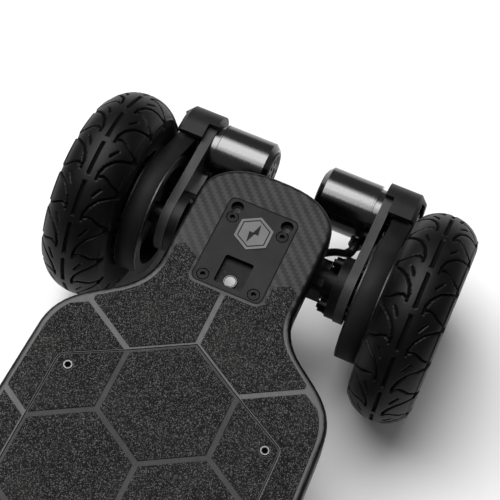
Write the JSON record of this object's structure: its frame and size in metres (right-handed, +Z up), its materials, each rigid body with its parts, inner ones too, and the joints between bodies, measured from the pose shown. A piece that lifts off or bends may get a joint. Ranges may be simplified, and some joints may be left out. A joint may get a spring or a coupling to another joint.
{
  "type": "electric skateboard",
  "caption": "Off-road electric skateboard: one-piece deck with hexagon grip, double-kingpin trucks, air tyres and a belt-driven motor on each rear wheel.",
  "frame": {"origin": "on the ground, under the middle of the board's overall length and width", "axes": "+X towards the board's front, +Y to the rider's left, +Z up"},
  "size_m": [1.1316, 0.3194, 0.175],
  "materials": {
    "arm": "satin black anodised",
    "badge": "grey anodised",
    "belt": "toothed rubber",
    "bushing": "urethane",
    "button": "brushed",
    "cable": "smooth jacket",
    "carbon": "satin carbon twill",
    "cell_wrap": "shrink wrap",
    "controller": "anodised",
    "cover": "satin moulded",
    "grip": "fine mineral grit",
    "lid": "satin moulded",
    "motor": "gloss black",
    "pad": "moulded rubber",
    "plate": "satin moulded",
    "pulley": "black anodised",
    "rim": "satin moulded",
    "screw": "black oxide",
    "socket": "moulded",
    "steel": "zinc plated",
    "truck": "black powder coat",
    "tyre": "moulded tread"
  },
  "bodies": {
    "deck": {"deck_shell": "carbon", "battery_lid": "lid", "lid_screws": "steel", "grip_pads": "grip", "lid_grip_pads": "grip", "battery_pack": "cell_wrap", "motor_controller": "controller", "charge_socket": "socket", "front_plate": "plate", "rear_plate": "plate", "badge": "badge", "button_switch": "socket", "truck_screws": "screw", "truck_nuts": "steel", "riser_pads": "pad", "front_baseplate": "truck", "rear_baseplate": "truck", "inner_kingpins": "steel", "inner_bushings": "bushing", "cable_glands": "cable"},
    "power_button": {"power_button": "button"},
    "front_knuckle": {"front_knuckle": "truck", "front_outer_kingpin": "steel", "front_outer_bushings": "bushing"},
    "front_hanger": {"front_hanger": "truck", "front_axle": "steel", "front_axle_nuts": "steel"},
    "rear_knuckle": {"rear_knuckle": "truck", "rear_outer_kingpin": "steel", "rear_outer_bushings": "bushing"},
    "rear_hanger": {"rear_hanger": "truck", "rear_axle": "steel", "rear_axle_nuts": "steel", "left_motor": "motor", "left_motor_arm": "arm", "left_pulley_cover": "cover", "left_belt": "belt", "left_motor_cable": "cable", "right_motor": "motor", "right_motor_arm": "arm", "right_pulley_cover": "cover", "right_belt": "belt", "right_motor_cable": "cable", "motor_mount_bolts": "steel"},
    "left_motor_pulley": {"left_motor_pulley": "pulley"},
    "right_motor_pulley": {"right_motor_pulley": "pulley"},
    "front_left_wheel": {"front_left_tyre": "tyre", "front_left_rim": "rim", "front_left_bearings": "steel"},
    "front_right_wheel": {"front_right_tyre": "tyre", "front_right_rim": "rim", "front_right_bearings": "steel"},
    "rear_left_wheel": {"rear_left_tyre": "tyre", "rear_left_rim": "rim", "rear_left_bearings": "steel", "left_drive_pulley": "pulley"},
    "rear_right_wheel": {"rear_right_tyre": "tyre", "rear_right_rim": "rim", "rear_right_bearings": "steel", "right_drive_pulley": "pulley"}
  },
  "joints": [
    {"name": "front_inner_steer", "type": "hinge", "parent": "deck", "child": "front_knuckle", "pos_m": [0.4175, 0, 0.10589], "axis": [0.7071, 0, 0.7071], "range_deg": [-10, 10], "stiffness_Nm_per_rad": 60},
    {"name": "front_outer_steer", "type": "hinge", "parent": "front_knuckle", "child": "front_hanger", "pos_m": [0.45921, 0, 0.09952], "axis": [0.7071, 0, 0.7071], "range_deg": [-10, 10], "stiffness_Nm_per_rad": 60},
    {"name": "rear_inner_steer", "type": "hinge", "parent": "deck", "child": "rear_knuckle", "pos_m": [-0.39968, 0, 0.10589], "axis": [-0.7071, 0, 0.7071], "range_deg": [-10, 10], "stiffness_Nm_per_rad": 60, "deforming": ["left_motor_cable", "right_motor_cable"]},
    {"name": "rear_outer_steer", "type": "hinge", "parent": "rear_knuckle", "child": "rear_hanger", "pos_m": [-0.4414, 0, 0.09952], "axis": [-0.7071, 0, 0.7071], "range_deg": [-10, 10], "stiffness_Nm_per_rad": 60},
    {"name": "front_left_wheel_spin", "type": "hinge", "parent": "front_hanger", "child": "front_left_wheel", "pos_m": [0.47831, 0.133, 0.0875], "axis": [0, 1, 0], "continuous": true},
    {"name": "front_right_wheel_spin", "type": "hinge", "parent": "front_hanger", "child": "front_right_wheel", "pos_m": [0.47831, -0.133, 0.0875], "axis": [0, 1, 0], "continuous": true},
    {"name": "rear_left_wheel_spin", "type": "hinge", "parent": "rear_hanger", "child": "rear_left_wheel", "pos_m": [-0.46049, 0.133, 0.0875], "axis": [0, 1, 0], "continuous": true},
    {"name": "rear_right_wheel_spin", "type": "hinge", "parent": "rear_hanger", "child": "rear_right_wheel", "pos_m": [-0.46049, -0.133, 0.0875], "axis": [0, 1, 0], "continuous": true},
    {"name": "left_motor_spin", "type": "hinge", "parent": "rear_hanger", "child": "left_motor_pulley", "pos_m": [-0.53581, 0.0962, 0.0875], "axis": [0, 1, 0], "continuous": true},
    {"name": "right_motor_spin", "type": "hinge", "parent": "rear_hanger", "child": "right_motor_pulley", "pos_m": [-0.53581, -0.0962, 0.0875], "axis": [0, 1, 0], "continuous": true},
    {"name": "power_button_press", "type": "slide", "parent": "deck", "child": "power_button", "axis": [0, 0, -1], "range_m": [0, 0.0012], "stiffness_N_per_m": 1500}
  ],
  "couplings": [
    {"joint": "front_outer_steer", "follows": "front_inner_steer", "ratio": 1},
    {"joint": "rear_outer_steer", "follows": "rear_inner_steer", "ratio": 1},
    {"joint": "left_motor_spin", "follows": "rear_left_wheel_spin", "ratio": 4},
    {"joint": "right_motor_spin", "follows": "rear_right_wheel_spin", "ratio": 4}
  ]
}
